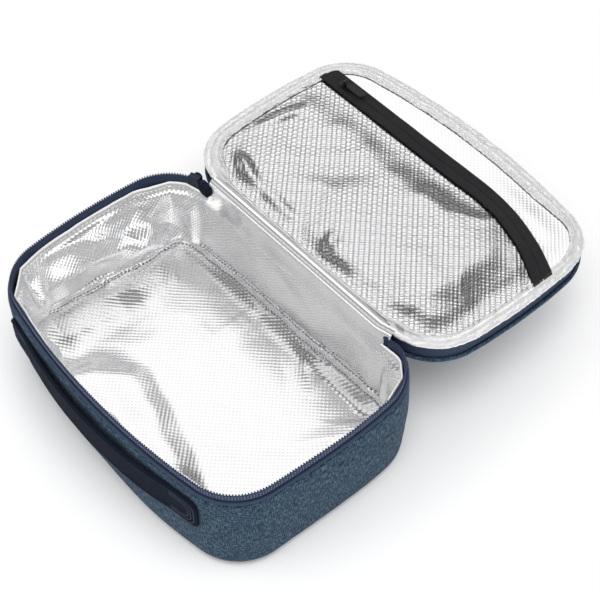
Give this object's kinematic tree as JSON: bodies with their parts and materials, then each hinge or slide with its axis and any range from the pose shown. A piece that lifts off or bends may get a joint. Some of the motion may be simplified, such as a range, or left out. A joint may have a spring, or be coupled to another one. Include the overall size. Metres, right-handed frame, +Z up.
{
  "type": "lunch box",
  "caption": "Soft-sided insulated lunch box with a foil lining, a zip round the rim, a front grab handle and a padded hinged lid with a zipped net pocket.",
  "frame": {"origin": "centre of the tray's flat underside, where the box stands", "axes": "+X along the long side, +Y from the handle side to the hinge side, +Z up"},
  "size_m": [0.2728, 0.3707, 0.0925],
  "materials": {
    "heather_fabric": "matte heather weave",
    "foam": "matte",
    "silver_foil": "embossed foil",
    "black_net": "matte",
    "black_tape": "matte",
    "black_coil": "satin",
    "navy_coil": "satin",
    "navy_webbing": "matte webbing",
    "navy_tape": "matte",
    "navy_metal": "satin",
    "black_metal": "satin"
  },
  "bodies": {
    "base": {"base_wall_fabric": "heather_fabric", "base_bottom_fabric": "heather_fabric", "base_wall_foam": "foam", "base_floor_foam": "foam", "liner_wall_foil": "silver_foil", "liner_floor_foil": "silver_foil", "liner_floor_welt": "silver_foil", "liner_rim_hem": "silver_foil", "base_zip_tape": "navy_tape", "base_zip_coil": "navy_coil", "zip_end_tab_left": "navy_tape", "zip_end_tab_right": "navy_tape", "hinge_panel_fabric": "heather_fabric", "hinge_panel_foil": "silver_foil", "handle_strap": "navy_webbing", "handle_patch_left": "navy_webbing", "handle_patch_right": "navy_webbing"},
    "lid": {"lid_cap_fabric": "heather_fabric", "lid_foam": "foam", "lid_lining_foil": "silver_foil", "lid_binding_foil": "silver_foil", "lid_zip_tape": "navy_tape", "lid_zip_coil": "navy_coil", "pocket_net": "black_net", "pocket_zip_tape_inner": "black_tape", "pocket_zip_tape_outer": "black_tape", "pocket_zip_coil": "black_coil"},
    "main_slider": {"main_slider": "navy_metal"},
    "main_pull": {"main_pull": "navy_metal"},
    "pocket_slider": {"pocket_slider": "black_metal"},
    "pocket_pull": {"pocket_pull": "black_metal"}
  },
  "joints": [
    {"name": "lid_hinge", "type": "hinge", "parent": "base", "child": "lid", "pos_m": [0, 0.091, 0.08705], "axis": [1, 0, 0], "range_deg": [0, 181.8], "deforming": ["hinge_panel_fabric", "hinge_panel_foil"]},
    {"name": "main_slider_run", "type": "hinge", "parent": "base", "child": "main_slider", "pos_m": [-0.09062, 0.04551, 0.085], "axis": [0, 0, 1], "range_deg": [0, 57]},
    {"name": "main_pull_swing", "type": "hinge", "parent": "main_slider", "child": "main_pull", "pos_m": [-0.10503, 0.08761, 0.0845], "axis": [-0.3236, 0.9462, 0], "range_deg": [-25, 60]},
    {"name": "pocket_slider_run", "type": "slide", "parent": "lid", "child": "pocket_slider", "axis": [1, 0, 0], "range_m": [0, 0.112]},
    {"name": "pocket_pull_swing", "type": "hinge", "parent": "pocket_slider", "child": "pocket_pull", "pos_m": [-0.102, 0.22906, 0.08696], "axis": [0, -0.9995, 0.0314], "range_deg": [0, 120]}
  ]
}
